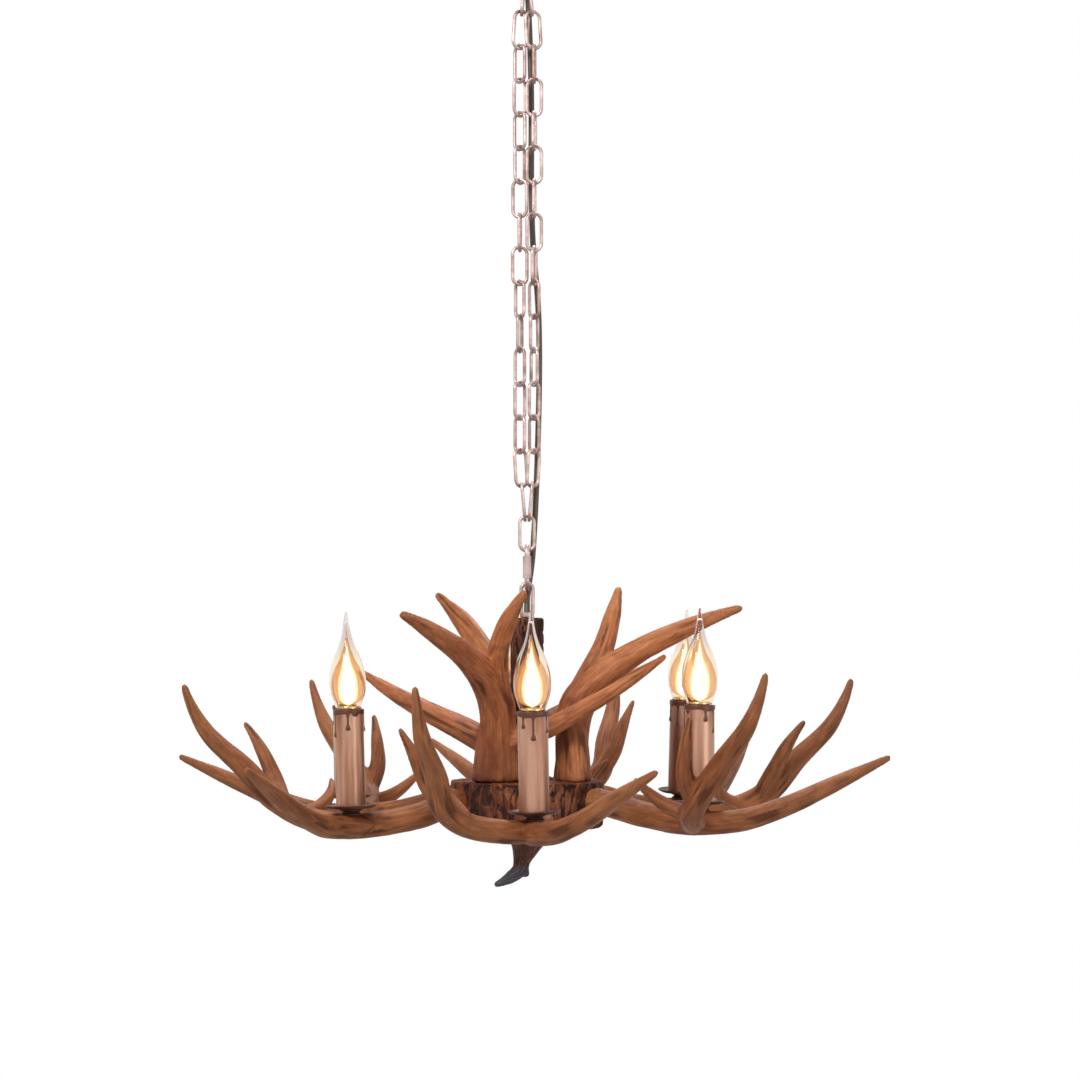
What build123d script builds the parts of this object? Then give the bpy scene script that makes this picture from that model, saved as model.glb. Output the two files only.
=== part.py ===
"""Antler chandelier: six arm antlers with candle lights in a bark drum hub, three upright antlers
round a column, hung by a doubled chain from a ceiling canopy.

Millimetres. +Z is up and the origin is on the ceiling, above the middle. The viewer stands on -Y.
"""

import os
from math import cos, pi, radians, sin, sqrt, tan

from build123d import *

# ---------------------------------------------------------------- driving sizes
# Running and seating clearances
seat_gap = 0.25           # castings in their sockets
link_gap = 0.3            # between two links of a chain
slide_gap = 0.3           # bulb base in its holder
thread_gap = 0.05         # threaded parts, all round

# Hub
hub_radius = 76.5
hub_height = 48.0
hub_lobe = 1.6            # depth of the bark furrows
hub_lobes = 19
hub_round = 3.0
cavity_radius = 48.0
hub_roof = 9.0            # thickness of the drum above the wiring cavity
socket_radius = 13.0
socket_depth = 20.0
plate_thickness = 3.0
cover_thickness = 3.0
cover_radius = 56.0

# Central tube and column
tube_radius = 5.0
tube_bore = 3.7
column_radius = 17.0
column_height = 162.0
column_wall = 2.5
column_cap = 4.0
nut_across = 17.0
nut_thickness = 6.0
finial_flare = 23.0
finial_neck = 8.5
finial_thread = 10.0

# Arm antlers: local x runs out from the axis, y to the right of it, z up from the hub's top face
arm_count = 6
arm_turn = 1.0            # degrees, the front arm's place, to the viewer's right
arm_pivot = (60.0, 0.0, -20.0)
arm_yaw = (1.0, -2.6, 0.8, -0.3, 1.2, -1.6)      # how each casting sits in its socket, degrees
arm_pitch = (-0.5, 0.8, 0.7, 0.9, -1.5, -1.0)
arm_roll = (1.0, -1.8, 3.8, -2.6, 0.8, 1.4)
socket_height = -20.0
butt_reach = 20.8         # from the pivot to where the beam leaves its socket
butt = (arm_pivot[0] + butt_reach, 0.0, socket_height)

# Upright antlers, in the same local axes
upright_count = 3
upright_turn = -49.0
upright_yaw = (5.0, -3.0, -3.0)
upright_pitch = (-2.6, -1.0, 2.6)
upright_roll = (-0.7, 3.4, -3.4)
upright_foot = (40.0, 10.0, 0.0)   # its screw, and the point it tilts about
trunk_foot = (45.0, 6.0)
foot_radius = 15.5
foot_allowance = 5.0      # trimmed off where the casting meets the hub
screw_radius = 2.5
screw_bite = 18.0
screw_inset = 8.0         # from the arm's pivot
screw_head = 4.4
upright_shim = 0.5        # washer under each upright's screw head

# Candle lights
candle_reach = 195.0      # from the axis
# each seat is drilled by hand: how far further out, and to the arm's left, it ended up
candle_shift = ((0, 0), (0, 0), (-6.5, 0), (0, 0), (12.5, 3.0), (0, 0))
candle_seat = -27.0       # the flat on the beam that the boss stands on
flat_radius = 11.0
wire_bore = 3.0
boss_radius = 10.0
boss_height = 6.5
pan_radius = 24.5
pan_rise = 3.0
pan_wall = 1.2
sleeve_radius = 14.3
sleeve_wall = 1.4
sleeve_height = 95.0
sleeve_drips = 7
nipple_radius = 5.0
nipple_bore = 3.6
nipple_reach = 18.0       # down into the antler
holder_clearance = 0.5    # holder inside its sleeve
holder_height = 40.0
holder_drop = 2.0         # below the sleeve's rim
holder_floor = 9.0
bulb_radius = 17.7
bulb_height = 93.0
bulb_neck = 11.8
glass_wall = 0.8
base_radius = 6.7
base_length = 25.0
bulb_lift = 0.5           # glass above the sleeve's rim
filament_reach = 52.0

# Canopy, from the ceiling down
canopy_radius = 60.0
canopy_height = 42.0
canopy_wall = 1.2
canopy_round = 8.0
strap_width = 22.0
strap_gap = 1.7           # from the strap's corners to the canopy's wall
strap_thickness = 2.0
strap_slots = 70.0        # between the middles of the two ceiling screw slots
slot_length = 18.0
slot_width = 5.0
screw_edge = 7.0          # from the strap's end to the screw that holds the cup
stud_radius = 2.0
knob_radius = 4.5
knob_height = 6.0
shank_radius = 6.5
lock_nut_across = 20.0
lock_nut_thickness = 4.0
collar_radius = 9.0
collar_height = 8.0
ring_inside = 11.0
mouth_flare = 1.6
ring_wire = 4.5
ring_drop = 69.3          # ceiling to the middle of the ring

# Chain and its fittings
wire = 3.4
link_width = 18.0
link_pitch = 33.7
rows = 16                 # links in each strand
strand_reach = (2.2, 5.2, 7.2)                # strands from the axis, from the gathered end on
# each link's turn round the strand, from the bottom up: 0 faces the viewer
left_turns = (90, 40, -50, 48, -50, 74, -55, 8, 85, -20, 50, -45, 40, -48, 20, 90)
right_turns = (90, 40, -50, 48, -65, 60, -50, 75, 10, 85, -5, 80, -8, 85, 15, 90)
ring_sag = 0.4            # the two top links likewise on the canopy ring's curve
gather_sag = 0.5          # the two lowest links sit a little to each side of the gathering link's crown
single_length = 38.0
quick_wire = 5.0
quick_length = 47.0
quick_width = 21.0
barrel_radius = 4.2
barrel_length = 22.0
loop_wire = 4.0
loop_inside = 7.4
loop_height = 31.0
loop_collar = 7.2
loop_collar_height = 5.0

# Cable
cable_diameter = 6.0

# ---------------------------------------------------------------- sizes that follow, ceiling at 0
strap_length = 2 * sqrt((canopy_radius - canopy_wall - strap_gap) ** 2 - (strap_width / 2) ** 2)
canopy_screws = strap_length - 2 * screw_edge
link_length = link_pitch + 2 * wire + link_gap
link_span = link_length - wire                 # between the middles of its two end wires
ring_seat = -ring_drop - ring_inside - ring_wire / 2
chain_top = ring_seat + ring_wire / 2 + wire / 2 + link_gap + ring_sag
chain_bottom = chain_top - link_span - (rows - 1) * link_pitch
single_top = chain_bottom + wire + link_gap + gather_sag
single_bottom = single_top - (single_length - wire)
quick_top = single_bottom + wire / 2 + quick_wire / 2 + link_gap
quick_bottom = quick_top - (quick_length - quick_wire)
loop_top = quick_bottom + quick_wire / 2 + loop_wire / 2 + link_gap
loop_base = loop_top + loop_wire / 2 - loop_height
column_top = loop_base - loop_collar_height
hub_top = column_top - column_height
hub_bottom = hub_top - hub_height
cover_bottom = hub_bottom - cover_thickness
pan_floor = candle_seat + boss_height
sleeve_foot = pan_floor + pan_wall
sleeve_top = sleeve_foot + sleeve_height
holder_top = sleeve_top - holder_drop
holder_bottom = holder_top - holder_height
holder_radius = sleeve_radius - sleeve_wall - holder_clearance
glass_foot = sleeve_top + bulb_lift
arm_screw_at = Vector(arm_pivot[0] + screw_inset, 0, arm_pivot[2])
os.makedirs("parts", exist_ok=True)


def save(piece, label):
    """Labels a finished piece and writes its STEP file."""
    piece.label = label
    export_step(piece, f"parts/{label}.step")


def save_moved(piece, label, place):
    """Writes a copy of a piece at a place."""
    save(piece.moved(place), label)


def save_group(solids, label):
    """Writes separate solids that share one node."""
    save(Compound(label=label, children=list(solids)), label)


def seat(turn, yaw, pitch, roll, pivot):
    """A casting's place: turned round the axis, then tilted a little about its seat."""
    around = Pos(0, 0, hub_top) * Rot(0, 0, turn + yaw - 90)
    return around * Pos(*pivot) * Rot(0, -pitch, 0) * Rot(roll, 0, 0) * Pos(*[-p for p in pivot])


candle_seats = [(candle_reach + out, left) for out, left in candle_shift]
arm_places = [
    seat(arm_turn + 360 / arm_count * n, arm_yaw[n], arm_pitch[n], arm_roll[n], arm_pivot)
    for n in range(arm_count)
]
upright_places = [
    seat(upright_turn + 360 / upright_count * n, upright_yaw[n], upright_pitch[n], upright_roll[n],
         upright_foot)
    for n in range(upright_count)
]


# ---------------------------------------------------------------- antlers
def tine(points, radii, sections=7):
    """Adds one tapering tine: round sections lofted along a spline, with a rounded tip."""
    path = Spline(*points, mode=Mode.PRIVATE)
    stops = [0.0]
    for a, b in zip(points, points[1:]):
        stops.append(stops[-1] + (Vector(*b) - Vector(*a)).length)
    side = (path % 0).cross(path % 1)
    if side.length < 0.05:
        side = Vector(0, 1, 0)
    faces = []
    for n in range(sections):
        share = n / (sections - 1)
        far = share * stops[-1]
        k = max(i for i in range(len(points) - 1) if stops[i] <= far + 1e-9)
        part_way = (far - stops[k]) / (stops[k + 1] - stops[k])
        radius = radii[k] + (radii[k + 1] - radii[k]) * part_way
        along = path % share
        across = side - along * side.dot(along)
        with BuildSketch(Plane(origin=path @ share, x_dir=across, z_dir=along)) as section:
            Circle(radius)
        faces.append(section.sketch)
    loft(faces)
    with Locations(path @ 1):
        Sphere(radii[-1] * 1.02)


with BuildPart() as arm_casting:
    # main beam: butt in the hub, past the candle, out to the long low tine
    tine(
        [butt, (126, 8, -31), (195, -1, -38), (232, 17, -35), (268, 42, -21), (307, 70, 1), (347, 101, 25)],
        [socket_radius - seat_gap, 12.5, 12.2, 10.8, 9.4, 7.6, 2.9], 11,
    )
    # side branch that leaves the beam by the candle and climbs to the high tine
    tine(
        [(182, 2, -37), (206, -32, -35), (222, -66, -26), (240, -84, -10), (266, -91, 20), (301, -103, 58),
         (320, -108, 101)],
        [11.0, 11.3, 11.6, 11.8, 10.3, 7.6, 2.9], 11,
    )
    # second fork of the branch
    tine([(232, -80, -14), (232, -98, 10), (239, -109, 36), (250, -122, 62)], [9.0, 8.2, 6.3, 2.5])
    # short stub on the inner side of the branch
    tine([(222, -62, -28), (196, -67, -20), (181, -75, -8), (174, -88, 4)], [8.5, 7.0, 5.0, 2.2])
    with Locations(Location(butt, (0, 90, 0))):
        Cylinder(socket_radius - seat_gap, socket_depth, align=(Align.CENTER, Align.CENTER, Align.MAX))


def drilled(seat_at):
    """The arm casting with its candle's seat at a place, and the holes for its wires and screw."""
    with BuildPart() as arm:
        add(arm_casting.part)
        # flat and bore for the candle's boss and nipple
        with Locations((*seat_at, candle_seat)):
            Cylinder(flat_radius, 30, align=(Align.CENTER, Align.CENTER, Align.MIN), mode=Mode.SUBTRACT)
            Cylinder(nipple_radius + thread_gap, 2 * (nipple_reach + 1), mode=Mode.SUBTRACT)
        # channel for the wires, drilled from the butt to the candle's bore
        channel = Vector(*seat_at, candle_seat - nipple_reach + wire_bore) - Vector(*arm_pivot)
        with Locations(Plane(origin=arm_pivot, z_dir=channel)):
            Cylinder(wire_bore, 2 * channel.length, mode=Mode.SUBTRACT)
        # tapped hole for the screw that comes up through the hub
        with Locations(arm_screw_at):
            Cylinder(screw_radius + thread_gap, socket_radius, align=(Align.CENTER, Align.CENTER, Align.MAX),
                     mode=Mode.SUBTRACT)
    return arm.part


with BuildPart() as upright_casting:
    # trunk and the long tine that leans outwards
    tine(
        [(*trunk_foot, -foot_allowance), (46, 6, 42), (50, 10, 74), (74, 18, 104), (108, 25, 128),
         (156, 34, 152), (208, 45, 172)],
        [foot_radius, 16.5, 18.5, 15.5, 12.0, 9.2, 3.6], 11,
    )
    # flare at the foot, to each side of the trunk
    outer_foot = (trunk_foot[0] + 11, trunk_foot[1] - 9, -foot_allowance)
    inner_foot = (trunk_foot[0] - 9, trunk_foot[1] + 8, -foot_allowance)
    tine([outer_foot, (54, -1, 30), (49, 6, 72)], [13.0, 12.5, 10.0], 5)
    tine([inner_foot, (40, 12, 28), (48, 10, 62)], [12.0, 11.5, 10.0], 5)
    # upper fork
    tine([(47, 10, 68), (60, 18, 100), (70, 33, 132), (73, 51, 162), (72, 71, 187)],
         [17.0, 14.0, 10.5, 8.3, 3.6], 9)

# low tines: the outer one reaches out to the casting's right, the inner one past the column
outer_tine = ([(44, 2, 34), (56, -34, 52), (65, -66, 66), (72, -104, 82), (78, -153, 106)],
              [14.5, 12.2, 10.4, 8.4, 3.2])
inner_tine = ([(45, 3, 36), (14, 50, 55), (-18, 82, 79), (-46, 101, 98), (-78, 117, 119)],
              [12.5, 9.8, 7.8, 6.0, 2.8])
low_tines = ((outer_tine, inner_tine), (), (outer_tine,))   # those that each casting carries


# ---------------------------------------------------------------- hub
UP = (Align.CENTER, Align.CENTER, Align.MIN)
DOWN = (Align.CENTER, Align.CENTER, Align.MAX)

furrow = [2 * pi * n / (hub_lobes * 4) for n in range(hub_lobes * 4)]
reach = [hub_radius - hub_lobe * (0.5 + 0.35 * cos(hub_lobes * a) + 0.15 * sin(5 * a)) for a in furrow]

with BuildPart() as hub_drum:
    with BuildSketch(Plane.XY.offset(hub_bottom)):
        with BuildLine():
            Spline(*[(r * cos(a), r * sin(a)) for a, r in zip(furrow, reach)], periodic=True)
        make_face()
    extrude(amount=hub_height)
    chamfer(edges().group_by(Axis.Z)[0], hub_round)
    chamfer(edges().group_by(Axis.Z)[-1], hub_round / 3)
    # wiring cavity, open below
    with Locations((0, 0, hub_bottom)):
        Cylinder(cavity_radius, hub_height - hub_roof, align=UP, mode=Mode.SUBTRACT)
    with Locations((0, 0, hub_top)):
        Cylinder(tube_radius + thread_gap, 3 * hub_roof, mode=Mode.SUBTRACT)
    for place in arm_places:
        # socket, wire hole and screw hole of each arm
        with Locations(place * Location(butt, (0, 90, 0))):
            Cylinder(socket_radius, socket_depth + seat_gap, align=DOWN, mode=Mode.SUBTRACT)
        with Locations(place * Location(arm_pivot, (0, 90, 0))):
            Cylinder(wire_bore, arm_pivot[0] - cavity_radius + socket_depth, align=DOWN, mode=Mode.SUBTRACT)
        with Locations(place * Pos(*arm_screw_at)):
            Cylinder(screw_radius + thread_gap, 2 * hub_height, align=DOWN, mode=Mode.SUBTRACT)
        with Locations(place * Pos(arm_screw_at.X, 0, arm_screw_at.Z - screw_bite)):
            Cylinder(screw_head + seat_gap, hub_height, align=DOWN, mode=Mode.SUBTRACT)
    for place in upright_places:
        with Locations(place * Pos(*upright_foot)):
            Cylinder(screw_radius + thread_gap, 3 * hub_roof, mode=Mode.SUBTRACT)
save(hub_drum.part, "hub_drum")

plate_top = hub_top - hub_roof
plate_bottom = plate_top - plate_thickness
with BuildPart() as hub_plate:
    with Locations((0, 0, plate_top)):
        Cylinder(cavity_radius - seat_gap, plate_thickness, align=DOWN)
        Cylinder(tube_radius + thread_gap, 3 * plate_thickness, mode=Mode.SUBTRACT)
        with PolarLocations(tube_radius + 2 * wire_bore, arm_count):
            Cylinder(wire_bore / 2, 3 * plate_thickness, mode=Mode.SUBTRACT)
    for place in upright_places:
        with Locations(place * Pos(*upright_foot)):
            Cylinder(screw_radius + thread_gap, 4 * hub_roof, mode=Mode.SUBTRACT)
save(hub_plate.part, "hub_plate")

with BuildPart() as hub_nut:
    with BuildSketch(Plane.XY.offset(plate_bottom - nut_thickness)):
        RegularPolygon(nut_across / 2, 6, major_radius=False)
        Circle(tube_radius + thread_gap, mode=Mode.SUBTRACT)
    extrude(amount=nut_thickness)
save(hub_nut.part, "hub_nut")

with BuildPart() as bottom_cover:
    with Locations((0, 0, hub_bottom)):
        Cylinder(cover_radius, cover_thickness, align=DOWN)
        Cylinder(cavity_radius - seat_gap, cover_thickness, align=UP)
    chamfer(edges().group_by(Axis.Z)[0], cover_thickness / 3)
    with Locations((0, 0, hub_bottom)):
        Cylinder(tube_radius + thread_gap, 4 * cover_thickness, mode=Mode.SUBTRACT)
save(bottom_cover.part, "bottom_cover")

with BuildPart() as central_tube:
    with BuildSketch(Plane.XY.offset(cover_bottom - finial_thread)):
        Circle(tube_radius)
        Circle(tube_bore, mode=Mode.SUBTRACT)
    extrude(amount=column_top + loop_collar_height / 2 - cover_bottom + finial_thread)
    # wires leave the tube into the cavity
    with Locations((0, 0, plate_bottom - 2 * nut_thickness)):
        Cylinder(tube_bore / 2, 3 * tube_radius, rotation=(90, 0, 0), mode=Mode.SUBTRACT)
save(central_tube.part, "central_tube")

with BuildPart() as column_sleeve:
    with BuildSketch(Plane.XY.offset(hub_top)):
        Circle(column_radius)
        Circle(column_radius - column_wall, mode=Mode.SUBTRACT)
    extrude(amount=column_height)
    with BuildSketch(Plane.XY.offset(column_top - column_cap)):
        Circle(column_radius)
        Circle(tube_radius + thread_gap, mode=Mode.SUBTRACT)
    extrude(amount=column_cap)
    fillet(edges().filter_by(GeomType.CIRCLE).sort_by(SortBy.RADIUS)[-2:].group_by(Axis.Z)[-1], 1.5)
save(column_sleeve.part, "column_sleeve")

with BuildPart() as finial:
    # flared crown that runs into the neck, then a hooked tine and a short knob beside it
    tine(
        [(0, 0, 0), (0, 0, -7), (-2, 0, -18), (-5, 0, -29), (-7, 0, -38), (-17, -1, -47), (-31, -3, -54)],
        [finial_flare, 20.5, 13.5, finial_neck, 8.0, 6.0, 3.0], 13,
    )
    tine([(-7, 0, -33), (-3, 1, -40), (-1.5, 2, -43)], [7.0, 5.5, 4.0], 4)
    Cylinder(2 * finial_flare, finial_flare, align=UP, mode=Mode.SUBTRACT)
    Cylinder(tube_radius + thread_gap, finial_thread + 1, align=DOWN, mode=Mode.SUBTRACT)
save_moved(finial.part, "finial", Pos(0, 0, cover_bottom))


# ---------------------------------------------------------------- fasteners of the antlers
def screw(bite, down):
    """A cap screw: head below z = 0, shank up to its bite."""
    with BuildPart() as body:
        Cylinder(screw_head, screw_head, align=DOWN)
        Cylinder(screw_radius, bite, align=UP)
        with BuildSketch(Plane.XY.offset(-screw_head)):
            RegularPolygon(screw_radius * 0.9, 6)
        extrude(amount=down, mode=Mode.SUBTRACT)
    return body.part


arm_screw = screw(screw_bite, screw_head / 2)
save_group(
    [arm_screw.moved(place * Pos(arm_screw_at.X, 0, arm_screw_at.Z - screw_bite)) for place in arm_places],
    "arm_screws",
)
upright_screw = screw(hub_roof + plate_thickness + screw_bite, screw_head / 2)
screw_seat = Pos(upright_foot[0], upright_foot[1], -hub_roof - plate_thickness - upright_shim)
save_group([upright_screw.moved(place * screw_seat) for place in upright_places], "upright_screws")

for n, place in enumerate(arm_places):
    save_moved(drilled(candle_seats[n]), f"arm_antler_{n + 1}", place)
for n, place in enumerate(upright_places):
    with BuildPart() as standing:
        add(upright_casting.part)
        for points, radii in low_tines[n]:
            tine(points, radii, 9)
        with Locations(upright_foot):
            Cylinder(screw_radius + thread_gap, screw_bite * 2, mode=Mode.SUBTRACT)
    with BuildPart() as trimmed:
        # stands flat on the hub whatever its lean
        add(standing.part.moved(place))
        split(bisect_by=Plane.XY.offset(hub_top), keep=Keep.TOP)
    save(trimmed.part, f"upright_antler_{n + 1}")

# ---------------------------------------------------------------- candle lights, in an arm's own axes
with BuildPart() as boss:
    with BuildSketch(Plane.XZ):
        with BuildLine():
            Polyline(
                (nipple_radius + thread_gap, candle_seat), (boss_radius, candle_seat),
                (boss_radius, candle_seat + boss_height * 0.35),
                (boss_radius - 2, candle_seat + boss_height * 0.5),
                (boss_radius + 1, candle_seat + boss_height * 0.75), (boss_radius + 1, pan_floor),
                (nipple_radius + thread_gap, pan_floor), close=True,
            )
        make_face()
    revolve(axis=Axis.Z)

with BuildPart() as pan:
    with BuildSketch(Plane.XZ):
        with BuildLine():
            Polyline(
                (nipple_radius + thread_gap, pan_floor), (pan_radius - 2 * pan_rise, pan_floor),
                (pan_radius - pan_rise / 2, pan_floor + pan_rise * 0.4), (pan_radius, pan_floor + pan_rise),
                (pan_radius - pan_wall, pan_floor + pan_rise + pan_wall / 2),
                (pan_radius - pan_rise / 2 - pan_wall, pan_floor + pan_rise * 0.4 + pan_wall),
                (pan_radius - 2 * pan_rise - pan_wall / 4, sleeve_foot),
                (nipple_radius + thread_gap, sleeve_foot),
                close=True,
            )
        make_face()
    revolve(axis=Axis.Z)

with BuildPart() as nipple:
    with BuildSketch(Plane.XY.offset(candle_seat - nipple_reach)):
        Circle(nipple_radius)
        Circle(nipple_bore, mode=Mode.SUBTRACT)
    extrude(amount=holder_bottom + holder_floor / 2 - candle_seat + nipple_reach)

with BuildPart() as holder:
    with Locations((0, 0, holder_bottom)):
        Cylinder(holder_radius, holder_height, align=UP)
        Cylinder(nipple_radius + thread_gap, holder_floor / 2, align=UP, mode=Mode.SUBTRACT)
        Cylinder(nipple_bore, holder_floor + 1, align=UP, mode=Mode.SUBTRACT)
    with Locations((0, 0, holder_bottom + holder_floor)):
        Cylinder(base_radius + slide_gap, holder_height, align=UP, mode=Mode.SUBTRACT)
    chamfer(edges().group_by(Axis.Z)[-1], 0.6)

with BuildPart() as sleeve:
    # candle tube with wax drips down from its rim
    with BuildSketch(Plane.XY.offset(sleeve_foot)):
        Circle(sleeve_radius)
        Circle(sleeve_radius - sleeve_wall, mode=Mode.SUBTRACT)
    extrude(amount=sleeve_height)
    for n in range(sleeve_drips):
        angle = 360 / sleeve_drips * n + 13 * sin(2.3 * n)
        length = 17 + 11 * sin(1.9 * n + 1)
        with Locations(Rot(0, 0, angle) * Pos(sleeve_radius - 0.4, 0, sleeve_top - 1)):
            Cylinder(1.5, length, align=DOWN)
        with Locations(Rot(0, 0, angle) * Pos(sleeve_radius - 0.4, 0, sleeve_top - 1 - length)):
            Sphere(1.75)
    with Locations((0, 0, sleeve_foot)):
        Cylinder(sleeve_radius - sleeve_wall, sleeve_height, align=UP, mode=Mode.SUBTRACT)

glass_outline = [
    (bulb_neck, 0), (14.3, 7), (16.9, 16), (bulb_radius, 26), (16.5, 37), (12.6, 50), (7.3, 62),
    (4.2, 73), (2.2, 84),
]
with BuildPart() as glass:
    for shrink, mode in ((0, Mode.ADD), (glass_wall, Mode.SUBTRACT)):
        tip = glass_foot + bulb_height - 6 * shrink
        with BuildSketch(Plane.XZ) as half_outline:
            with BuildLine():
                Polyline((bulb_neck - shrink, glass_foot), (0, glass_foot), (0, tip))
                Spline(
                    (0, tip),
                    *[(r - shrink, glass_foot + h) for r, h in glass_outline[:0:-1]],
                    (bulb_neck - shrink, glass_foot),
                )
            make_face()
        revolve(axis=Axis.Z, mode=mode)

with BuildPart() as screw_base:
    # rolled thread as rings, open inside, with its contact at the foot
    with Locations((0, 0, glass_foot)):
        Cylinder(base_radius - 0.5, base_length - 4, align=DOWN)
        Cylinder(bulb_neck - glass_wall - 0.1, 2.5, align=UP)
    for n in range(6):
        with Locations((0, 0, glass_foot - 5 - 2.8 * n)):
            Torus(base_radius - 1, 1)
    with Locations((0, 0, glass_foot - base_length + 4)):
        Cone(3, base_radius - 0.6, 4, align=DOWN)

with BuildPart() as filament:
    # glass stem with four straight filaments leaning round it
    with Locations((0, 0, glass_foot + 2.5)):
        Cylinder(2.2, filament_reach / 3, align=UP)
        Cylinder(0.5, filament_reach, align=UP)
    for n in range(4):
        lean = Rot(0, 0, 90 * n) * Pos(4.2, 0, glass_foot + 12) * Rot(0, -4, 0)
        with Locations(lean):
            Cylinder(0.7, filament_reach - 14, align=UP)
    for level, ring in ((11, 4.6), (filament_reach - 3, 1.9)):
        with Locations((0, 0, glass_foot + level)):
            Cylinder(ring, 1.6, align=UP)

candle_places = [place * Pos(*seat_at, 0) for place, seat_at in zip(arm_places, candle_seats)]
for n, at in enumerate(candle_places):
    save_moved(sleeve.part, f"candle_sleeve_{n + 1}", at)
    save_moved(glass.part, f"bulb_glass_{n + 1}", at)
    save_group([screw_base.part.moved(at), filament.part.moved(at)], f"bulb_base_{n + 1}")
save_group([boss.part.moved(at) for at in candle_places], "pan_bosses")
save_group([pan.part.moved(at) for at in candle_places], "drip_pans")
save_group([nipple.part.moved(at) for at in candle_places], "candle_nipples")
save_group([holder.part.moved(at) for at in candle_places], "lampholders")


# ---------------------------------------------------------------- hanging hardware
def link(length, width, thick):
    """A chain link: two straight sides and two round ends, standing in the XZ plane."""
    bend = (width - thick) / 2
    side = length / 2 - thick / 2 - bend
    with BuildPart() as body:
        with BuildLine(Plane.XZ) as route:
            Line((bend, -side), (bend, side))
            RadiusArc((bend, side), (-bend, side), -bend)
            Line((-bend, side), (-bend, -side))
            RadiusArc((-bend, -side), (bend, -side), -bend)
        with BuildSketch(Plane(origin=(bend, 0, -side), z_dir=(0, 0, 1))):
            Circle(thick / 2)
        sweep(path=route.line)
    return body.part


with BuildPart() as fixture_loop:
    half = (loop_inside + loop_wire) / 2
    with BuildLine(Plane.XZ) as bow:
        Line((half, loop_base - 1), (half, loop_top - half))
        RadiusArc((half, loop_top - half), (-half, loop_top - half), -half)
        Line((-half, loop_top - half), (-half, loop_base - 1))
    with BuildSketch(Plane(origin=(half, 0, loop_base - 1), z_dir=(0, 0, 1))):
        Circle(loop_wire / 2)
    sweep(path=bow.line)
    with Locations((0, 0, column_top)):
        Cylinder(loop_collar, loop_collar_height, align=UP)
    chamfer(faces().filter_by(Plane.XY).edges().group_by(Axis.Z)[0], 0.8)
    with Locations((0, 0, column_top)):
        Cylinder(tube_bore, 4 * loop_collar_height, mode=Mode.SUBTRACT)
        Cylinder(tube_radius + thread_gap, loop_collar_height, mode=Mode.SUBTRACT)
save(fixture_loop.part, "fixture_loop")

quick_link = link(quick_length, quick_width, quick_wire).rotate(Axis.Z, 90)
quick_link = quick_link.moved(Pos(0, 0, (quick_top + quick_bottom) / 2))
save(quick_link, "quick_link")
with BuildPart() as barrel_nut:
    with BuildSketch():
        RegularPolygon(barrel_radius, 6)
        Circle(quick_wire / 2 + thread_gap, mode=Mode.SUBTRACT)
    extrude(amount=barrel_length / 2, both=True)
barrel_at = Pos(0, -(quick_width - quick_wire) / 2, (quick_top + quick_bottom) / 2)
save_moved(barrel_nut.part, "quick_link_nut", barrel_at)

gathering_at = Pos(0, 0, (single_top + single_bottom) / 2)
save_moved(link(single_length, link_width, wire), "gathering_link", gathering_at)


def strand(side, turns):
    """The links of one strand, from the gathering link up to the canopy ring."""
    blank = link(link_length, link_width, wire)
    apart = [strand_reach[-1]] * (rows + 1 - 2 * len(strand_reach))
    spread = [*strand_reach, *apart, *strand_reach[::-1]]
    links = []
    for n in range(rows):
        low, high = side * spread[n], side * spread[n + 1]
        middle = chain_bottom + link_span / 2 + n * link_pitch
        lean = Rot(0, (high - low) / link_pitch * 180 / pi, 0)
        links.append(blank.moved(Pos((low + high) / 2, 0, middle) * lean * Rot(0, 0, turns[n])))
    return links


save_group(strand(-1, left_turns), "chain_strand_left")
save_group(strand(1, right_turns), "chain_strand_right")

# ---------------------------------------------------------------- ceiling canopy
canopy_floor = -canopy_height
with BuildPart() as canopy:
    Cylinder(canopy_radius, canopy_height, align=DOWN)
    fillet(edges().group_by(Axis.Z)[0], canopy_round)
    offset(amount=-canopy_wall, openings=faces().sort_by(Axis.Z)[-1])
    with Locations((0, 0, canopy_floor)):
        Cylinder(shank_radius + thread_gap, canopy_height, mode=Mode.SUBTRACT)
    with GridLocations(canopy_screws, 0, 2, 1):
        with Locations((0, 0, canopy_floor)):
            Cylinder(stud_radius + thread_gap, canopy_height, mode=Mode.SUBTRACT)
save(canopy.part, "canopy")

with BuildPart() as strap:
    with BuildSketch(Plane.XY.offset(-strap_thickness)):
        Rectangle(strap_length, strap_width)
        fillet(vertices(), strap_width / 4)
        Circle(shank_radius + thread_gap, mode=Mode.SUBTRACT)
        with GridLocations(strap_slots, 0, 2, 1):
            SlotOverall(slot_length, slot_width, mode=Mode.SUBTRACT)
        with GridLocations(canopy_screws, 0, 2, 1):
            Circle(stud_radius + thread_gap, mode=Mode.SUBTRACT)
    extrude(amount=strap_thickness)
save(strap.part, "mounting_strap")

with BuildPart() as canopy_stud:
    Cylinder(stud_radius, canopy_height, align=UP)
    Cylinder(knob_radius, knob_height, align=DOWN)
    fillet(edges().group_by(Axis.Z)[0], knob_height / 3)
save_group([canopy_stud.part.moved(Pos(side * canopy_screws / 2, 0, canopy_floor)) for side in (-1, 1)],
           "canopy_screws")

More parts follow.
